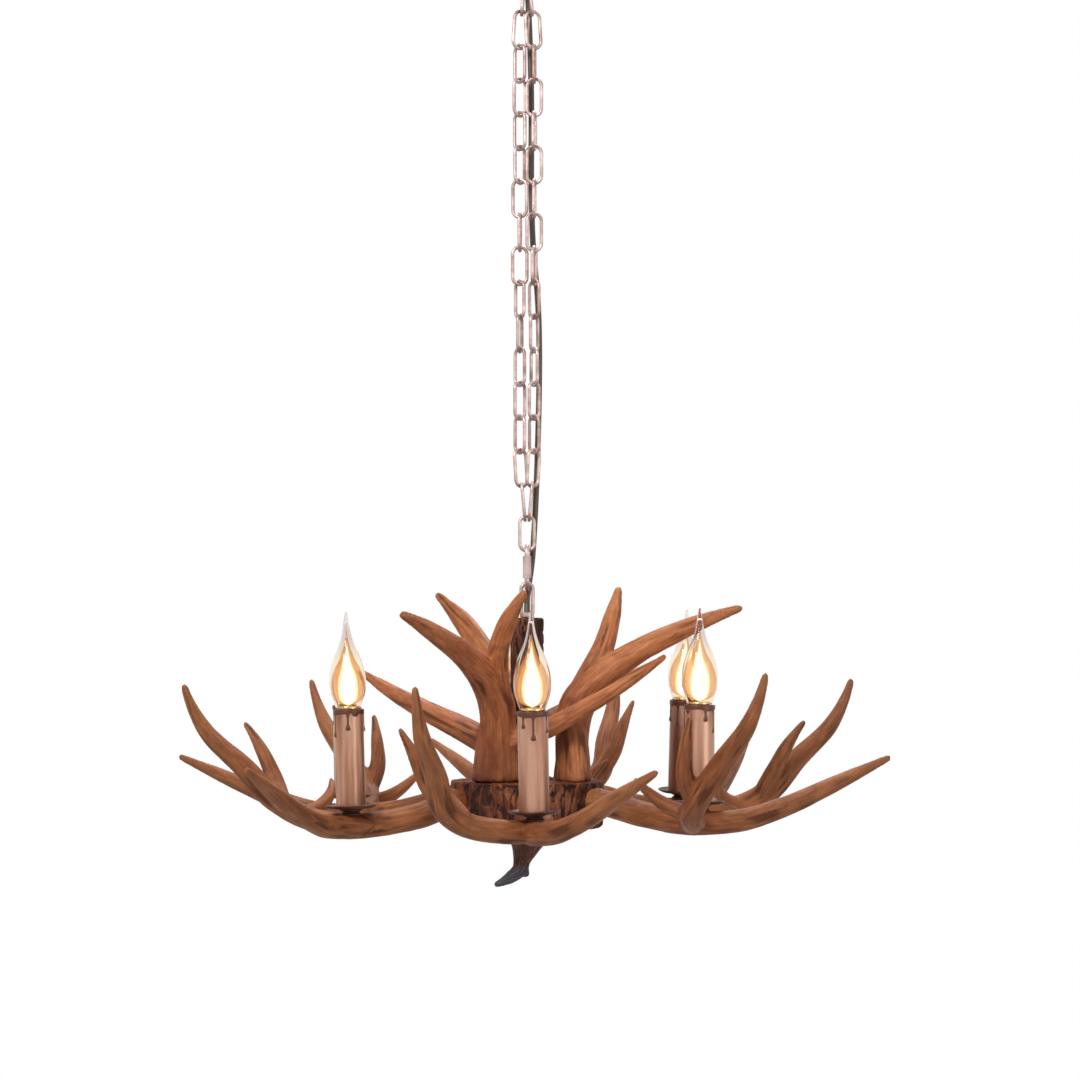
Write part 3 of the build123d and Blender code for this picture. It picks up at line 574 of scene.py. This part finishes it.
def softbox(name, place, aim, size, power):
    """A square area lamp that looks at a point."""
    data = bpy.data.lights.new(name, "AREA")
    data.shape = "SQUARE"
    data.size = size
    data.energy = power
    lamp = bpy.data.objects.new(name, data)
    bpy.context.scene.collection.objects.link(lamp)
    lamp.location = place
    direction = Vector(aim) - Vector(place)
    lamp.rotation_euler = direction.to_track_quat("-Z", "Y").to_euler()


softbox("key", (-1.3, -2.1, 0.9), LAMPS_AIM, 1.0, 62)
softbox("fill", (1.9, -1.6, -0.3), LAMPS_AIM, 1.4, 15)
softbox("top", (0.3, 0.9, 0.9), LAMPS_AIM, 1.0, 24)

# ---------------------------------------------------------------- antlers
ARM_TINES = (
    ([(62, 0, -20), (80.8, 0, -20), (126, 8, -31), (195, -1, -38), (232, 17, -35), (268, 42, -21),
      (307, 70, 1), (347, 101, 25)], [12.7, 12.9, 12.6, 12.3, 10.9, 9.6, 7.9, 3.2]),
    ([(182, 2, -37), (206, -32, -35), (222, -66, -26), (240, -84, -10), (266, -91, 20), (301, -103, 58),
      (320, -108, 101)], [11.0, 11.4, 11.7, 12.0, 10.5, 7.9, 3.2]),
    ([(232, -80, -14), (232, -98, 10), (239, -109, 36), (250, -122, 62)], [9.2, 8.5, 6.6, 2.9]),
    ([(222, -62, -28), (196, -67, -20), (181, -75, -8), (174, -88, 4)], [8.7, 7.2, 5.3, 2.6]),
)
UPRIGHT_TINES = (
    ([(45, 6, 0.3), (45.3, 6, 20), (46, 6, 42), (50, 10, 74), (74, 18, 104), (108, 25, 128), (156, 34, 152),
      (208, 45, 172)], [15.6, 15.9, 16.6, 18.6, 15.6, 12.2, 9.5, 3.9]),
    ([(56, -3, 0.3), (54, -1, 30), (49, 6, 72)], [13.0, 12.5, 10.0]),
    ([(36, 14, 0.3), (40, 12, 28), (48, 10, 62)], [12.0, 11.5, 10.0]),
    ([(47, 10, 68), (60, 18, 100), (70, 33, 132), (73, 51, 162), (72, 71, 187)],
     [17.0, 14.0, 10.7, 8.6, 3.9]),
)
OUTER_TINE = ([(44, 2, 34), (56, -34, 52), (65, -66, 66), (72, -104, 82), (78, -153, 106)],
              [14.5, 12.3, 10.6, 8.7, 3.5])
INNER_TINE = ([(45, 3, 36), (14, 50, 55), (-18, 82, 79), (-46, 101, 98), (-78, 117, 119)],
              [12.5, 9.9, 8.0, 6.3, 3.1])
LOW_TINES = ((OUTER_TINE, INNER_TINE), (), (OUTER_TINE,))
CURVE_POINTS = 160


def antler(tines, voxel, rounds, burr, seed, relief=0.55):
    """One casting in mould millimetres: its tines fused, then pressed in and out along the normals.

    Push = 2.2 relief (lift - 0.72) + burr, in mm. Lift is ridged noise over (1.9 cos a, 1.9 sin a, s / 40) of
    each tine, a the angle round it and s the length along it, mixed by nearness to the tines. The burr is a
    lumpy band exp(-((x - middle) / width)^2) across axis low, where the casting leaves its seat.
    """
    points, faces, normals = fused([tine_skin(k, r) for k, r in tines], voxel, rounds)
    near, lift, weight = np.full(len(points), np.inf), 0, 0
    grain = np.zeros_like(points)
    tip = np.zeros(len(points))
    for number, (knots, radii) in enumerate(tines):
        centre = curve_through(knots, CURVE_POINTS)
        at = lengths_along(knots)
        radius = np.interp(np.linspace(0, at[-1], CURVE_POINTS), at, radii)
        tangent, side, up = along_curve(centre)
        gap = np.sqrt(((points[:, None] - centre[None]) ** 2).sum(-1)) - radius
        k = gap.argmin(1)
        gap = gap[np.arange(len(points)), k]
        away = points - centre[k]
        angle = np.arctan2((away * up[k]).sum(1), (away * side[k]).sum(1))
        share = k / (CURVE_POINTS - 1)
        s = share * at[-1]
        spot = np.stack([1.9 * np.cos(angle), 1.9 * np.sin(angle), s / 40 + 7 * number], 1)
        ridge = 1 - np.abs(2 * layered(spot, seed + number, 3) - 1)
        pull = np.exp(-np.clip(gap, -4, 40) / 2.5)
        lift = lift + pull * ridge
        weight = weight + pull
        closer = gap < near
        grain[closer] = np.stack([radius[k] / 5 * np.cos(angle), radius[k] / 5 * np.sin(angle),
                                  s / 38 + 11 * number], 1)[closer]
        tip[closer] = ease(share, 0.5, 1)[closer]
        near = np.minimum(near, gap)
    lift = lift / weight
    push = relief * 2.2 * (lift - 0.72)
    low, middle, width, burr_height = burr
    lump = np.exp(-((points[:, low] - middle) / width) ** 2)
    push = push + burr_height * lump * (0.5 + 2.6 * noise(points / 4.5, seed + 9) ** 2)
    points = points + normals * push[:, None]
    groove = ease(0.78 - lift, 0, 0.32)
    return points, faces, {"grain": grain, "tip": tip, "groove": groove}


arm_points, arm_faces, arm_marks = antler(ARM_TINES, 1.6, 10, (0, 84, 5, 0.8), 3)
for n in range(6):
    piece(f"arm_antler_casting_{n + 1}", on_arm(n, arm_points), arm_faces, arm_look, "chandelier",
          [f"arm_antler_{n + 1}"], arm_marks)
for n in range(3):
    tines = UPRIGHT_TINES + LOW_TINES[n]
    up_points, up_faces, up_marks = antler(tines, 1.9, 12, (2, 6, 6, 0.35), 21 + n, 0.8)
    up_points[:, 2] = np.maximum(up_points[:, 2], 0.1)
    piece(f"upright_antler_casting_{n + 1}", on_upright(n, up_points), up_faces, upright_look, "chandelier",
          [f"upright_antler_{n + 1}"], up_marks)

COVER_BOTTOM = -51.0
fin_points, fin_faces, fin_marks = antler((
    ([(0, 0, COVER_BOTTOM - 0.5), (0, 0, COVER_BOTTOM - 7), (-2, 0, COVER_BOTTOM - 18),
      (-5, 0, COVER_BOTTOM - 29), (-7, 0, COVER_BOTTOM - 38), (-17, -1, COVER_BOTTOM - 47),
      (-30, -3, COVER_BOTTOM - 53.5)],
     [22.8, 20.5, 13.5, 8.7, 8.0, 6.0, 2.8]),
    ([(-7, 0, COVER_BOTTOM - 33), (-3, 1, COVER_BOTTOM - 40), (-1.5, 2, COVER_BOTTOM - 43)], [7.0, 5.5, 4.0]),
), 1.1, 6, (2, COVER_BOTTOM, 4, 0.8), 33, 0.6)
fin_points[:, 2] = np.minimum(fin_points[:, 2], COVER_BOTTOM - 0.1)
piece("horn_finial", (fin_points + (0, 0, HUB_TOP)) * MM, fin_faces, finial_look, "chandelier",
      ["finial"], fin_marks)


# ---------------------------------------------------------------- bark hub and column
def bark(profile, cols, depth, scale, seed):
    """Lathe with furrows that run up and down: each point moves along its profile normal by
    -depth (0.8 crack + 0.5 (1 - lump) r / R), where crack is a ridged noise over (x, y, z / 2.6) / scale."""
    shape = lathe(profile, cols)
    profile = np.asarray(profile, float)
    slope = np.gradient(profile, axis=0)
    normal = np.stack([slope[:, 1], -slope[:, 0]], 1)
    normal /= np.linalg.norm(normal, axis=1)[:, None]
    u = np.linspace(0, 2 * np.pi, cols, endpoint=False)
    radius = profile[:, 0].max()
    spot = shape / scale
    spot[..., 2] /= 2.6
    rough = layered(spot, seed, 4)
    ridge = np.abs(2 * rough - 1)
    crack = 1 - ease(ridge, 0.0, 0.24)
    lump = layered(shape / (scale * 2.2), seed + 5, 2)
    share = (shape[..., 0] ** 2 + shape[..., 1] ** 2) ** 0.5 / radius
    push = -depth * (0.8 * crack + 0.5 * (1 - lump) * share)
    across = normal[:, 0, None]
    out = np.stack([across * np.cos(u), across * np.sin(u), normal[:, 1, None] + 0 * u], -1)
    return shape + out * push[..., None], crack


def along(a, b, step):
    """Points from a to b, step apart or a little less."""
    a, b = np.array(a, float), np.array(b, float)
    count = max(2, int(np.ceil(np.linalg.norm(b - a) / step)) + 1)
    return [tuple(p) for p in a + (b - a) * np.linspace(0, 1, count)[:, None]]


hub_profile = (along((48.5, -HUB_DEPTH), (72, -HUB_DEPTH), 2.5) + along((73.8, -47.3), (76.2, -45), 1.2)
               + along((HUB_RADIUS, -43), (HUB_RADIUS, -2.6), 1.3) + along((76.4, -1.1), (75.2, -0.1), 1)
               + along((71, 0), (17.5, 0), 3))
hub_shape, hub_crack = bark(hub_profile, HUB_COLS, 2.4, 6.5, 40)
hub_shape = np.concatenate([hub_shape, lathe([(17.5, -8), (48.5, -8)], HUB_COLS)])
hub_crack = np.concatenate([hub_crack, np.zeros((2, HUB_COLS))])
piece("bark_hub", (hub_shape + (0, 0, HUB_TOP)).reshape(-1, 3) * MM,
      grid_faces(len(hub_shape), HUB_COLS, ring=True), hub_look, "chandelier", ["hub_drum"],
      {"groove": hub_crack.ravel()})

column_profile = (along((COLUMN_RADIUS, 0.2), (COLUMN_RADIUS, 159), 1.6)
                  + along((16.5, 161), (15, COLUMN_HEIGHT), 0.8)
                  + along((14, COLUMN_HEIGHT), (TUBE_BORE, COLUMN_HEIGHT), 1.5))
column_shape, column_crack = bark(column_profile, COLUMN_COLS, 1.2, 4.5, 60)
column_inside = lathe([(TUBE_BORE, 158), (14.5, 158), (14.5, 0.2)], COLUMN_COLS)
column_shape = np.concatenate([column_shape, column_inside])
column_crack = np.concatenate([column_crack, np.zeros((3, COLUMN_COLS))])
piece("bark_column", (column_shape + (0, 0, HUB_TOP)).reshape(-1, 3) * MM,
      grid_faces(len(column_shape), COLUMN_COLS, ring=True), column_look, "chandelier",
      ["column_sleeve"], {"groove": column_crack.ravel()})

# ---------------------------------------------------------------- candle lights
DRIPS = [(np.radians(360 / 7 * k + 13 * np.sin(2.3 * k)), 17 + 11 * np.sin(1.9 * k + 1)) for k in range(7)]


def candle_sleeve(cols=168, rows=104):
    """Tube of radius SLEEVE_RADIUS + wax: an uneven rim, and drips exp(-(a/w)^2) that end in a bead."""
    u = np.linspace(0, 2 * np.pi, cols, endpoint=False)[None]
    plain, waxed = np.linspace(SLEEVE_FOOT, 38, 26)[:-1], np.linspace(38, SLEEVE_TOP - 0.6, rows - 26)
    z = np.concatenate([plain, waxed])[:, None]
    down = SLEEVE_TOP - z
    rim = 3.6 + 2.2 * noise(np.stack([2.2 * np.cos(u[0]), 2.2 * np.sin(u[0]), 0 * u[0]], 1), 5)[None]
    wax = 0.75 * (1 - ease(down, rim, rim + 1.1))
    for angle, length in DRIPS:
        turn = (u - angle + np.pi) % (2 * np.pi) - np.pi
        width = 0.075 + 0.05 * ease(down, length - 7, length - 1) + 0.09 * (1 - ease(down, 3, 9))
        run = np.exp(-(turn / width) ** 2) * (1 - ease(down, length - 0.6, length + 1.4))
        wax = np.maximum(wax, run * (0.8 + 0.7 * ease(down, length - 6, length - 1)))
    radius = SLEEVE_RADIUS + wax
    outer = np.stack([radius * np.cos(u), radius * np.sin(u), z + 0 * u], -1)
    top = lathe([(14.6, SLEEVE_TOP - 0.15), (13.9, SLEEVE_TOP), (13.2, SLEEVE_TOP - 0.2),
                 (SLEEVE_BORE, SLEEVE_TOP - 0.8), (SLEEVE_BORE, 40), (SLEEVE_BORE, SLEEVE_FOOT)], cols)
    marks = np.concatenate([wax / 0.75, np.ones((4, cols)), np.zeros((2, cols))])
    shape = np.concatenate([outer, top])
    flow = np.stack([0.9 * np.cos(u) + 0 * shape[..., 2], 0.9 * np.sin(u) + 0 * shape[..., 2],
                     shape[..., 2] / 160], -1)
    return shape.reshape(-1, 3), grid_faces(len(shape), cols, ring=True), {
        "wax": np.clip(marks, 0, 1).ravel(), "flow": flow.reshape(-1, 3)}


def revolved(profile, cols, ring=False, poles=()):
    """A lathe as a list of points and its triangles."""
    shape = lathe(profile, cols)
    return shape.reshape(-1, 3), grid_faces(len(shape), cols, ring, poles)


FLAME = [(11.8, 0), (14.3, 7), (16.9, 16), (17.7, 26), (16.5, 37), (12.6, 50), (7.3, 62), (4.2, 73),
         (2.4, 84), (1.2, 91.6)]
GLASS_COLS = 64
outer = curve_through([(r, h + GLASS_FOOT) for r, h in FLAME], 60)
tail = [(0.7, GLASS_FOOT + 92.6), (0, GLASS_FOOT + 92.9)]
inner = outer[:-6] - (GLASS_WALL, 0)
inner = inner[inner[:, 0] > 0.3]
glass_profile = np.concatenate([outer, tail])
inner_profile = np.concatenate([inner, [(0, inner[-1, 1] + 0.6)]])
glass_outer = revolved(glass_profile, GLASS_COLS, poles=(len(glass_profile) - 1,))
glass_inner = revolved(inner_profile, GLASS_COLS, poles=(len(inner_profile) - 1,))
lip = np.arange(GLASS_COLS)
after = (lip + 1) % GLASS_COLS
start = len(glass_outer[0])
lip_faces = np.stack([start + lip, start + after, after, start + lip, after, lip], 1)
glass_points = np.concatenate([glass_outer[0], glass_inner[0]])
glass_faces = np.concatenate([glass_outer[1], glass_inner[1][:, ::-1] + start, lip_faces.reshape(-1, 3)])
glass_rise = (glass_points[:, 2] - GLASS_FOOT) / GLASS_HEIGHT

flames, flame_faces, warmths, start = [], [], [], 0
for shell_warmth, wide, low, high in ((0.0, 0.94, 2.6, 72), (0.4, 0.76, 2.8, 68), (0.7, 0.56, 3.0, 64),
                                      (1.0, 0.44, 3.2, 60)):
    t = np.linspace(0, 1, 36)
    shape = np.interp(t, [h / GLASS_HEIGHT for _, h in FLAME], [r for r, _ in FLAME])
    rounded = np.minimum(1, np.sqrt(t / 0.08)) * np.sqrt(1 - t ** 6)
    profile = np.stack([wide * shape * rounded, low + (high - low) * t], 1)
    profile[0, 0] = profile[-1, 0] = 0
    profile[:, 1] += GLASS_FOOT
    p, f = revolved(profile, 40, poles=(0, 35))
    flames.append(p)
    flame_faces.append(f + start)
    warmths.append(np.full(len(p), shell_warmth))
    start += len(p)
flame_points, flame_faces, warmths = (np.concatenate(k) for k in (flames, flame_faces, warmths))

thread = [(0, -25), (2.6, -25), (3, -24), (6.1, -21)]
thread += [(6.2 + 0.45 * np.cos(2 * np.pi * k / 12), -20.5 + k * 0.28) for k in range(60)]
thread += [(6.5, -3), (6.5, -0.6), (10.7, -0.2), (10.8, 2.4), (0, 2.5)]
thread = [(r, GLASS_FOOT + h) for r, h in thread]
base_points, base_faces = revolved(thread, 48, poles=(0, len(thread) - 1))

sleeve_points, sleeve_faces, sleeve_marks = candle_sleeve()
PAN_FLOOR = CANDLE_SEAT + 6.5
pan_profile = [(TUBE_BORE, 0), (16, 0), (20.5, 0.5), (23.6, 1.9), (24.3, 2.7), (24.5, 3.3), (24.1, 3.6),
               (23.4, 3.2), (22.3, 2.4), (19.6, 1.5), (16, 1.2), (TUBE_BORE, 1.2)]
pan_profile = [(r, PAN_FLOOR + h) for r, h in pan_profile]
pan_points, pan_faces = revolved(pan_profile, 96, ring=True)
boss_profile = [(TUBE_BORE, -27), (9.4, -27), (10, -26.6), (10.1, -25.4), (9.3, -24.7), (8.2, -24.2),
                (8, -23.6), (8.6, -23), (10.2, -22.4), (10.9, -21.8), (11, -21), (10.6, -20.6),
                (TUBE_BORE, -20.6)]
boss_points, boss_faces = revolved(boss_profile, 72, ring=True)

for n in range(6):
    bulb = f"bulb_{n + 1}"
    piece(f"drip_candle_{n + 1}", on_candle(n, sleeve_points), sleeve_faces, sleeve_look, "chandelier",
          [f"candle_sleeve_{n + 1}"], sleeve_marks)
    piece(f"flame_glass_{n + 1}", on_candle(n, glass_points), glass_faces, glass_look, bulb,
          [f"bulb_glass_{n + 1}"], {"rise": glass_rise})
    piece(f"filament_light_{n + 1}", on_candle(n, flame_points), flame_faces, glow_look, bulb,
          marks={"warmth": warmths})
    piece(f"screw_base_{n + 1}", on_candle(n, base_points), base_faces, brass_look, bulb,
          [f"bulb_base_{n + 1}"])
for name, points, faces, node in (("wax_pans", pan_points, pan_faces, "drip_pans"),
                                  ("turned_bosses", boss_points, boss_faces, "pan_bosses")):
    every_point = np.concatenate([on_candle(n, points) for n in range(6)])
    every_face = np.concatenate([faces + n * len(points) for n in range(6)])
    piece(name, every_point, every_face, pan_look, "chandelier", [node])

# ---------------------------------------------------------------- carried-over nodes
for look, names in (
    (chain_look, ("chain_strand_left", "chain_strand_right", "gathering_link", "quick_link", "quick_link_nut",
                  "fixture_loop", "canopy_loop")),
    (canopy_look, ("canopy", "canopy_screws")),
    (steel_look, ("mounting_strap", "lock_nut", "hub_plate", "hub_nut", "central_tube", "arm_screws",
                  "upright_screws", "candle_nipples")),
    (holder_look, ("lampholders",)),
    (pan_look, ("bottom_cover",)),
):
    for name in names:
        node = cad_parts[name]
        node.data.materials.clear()
        node.data.materials.append(look)
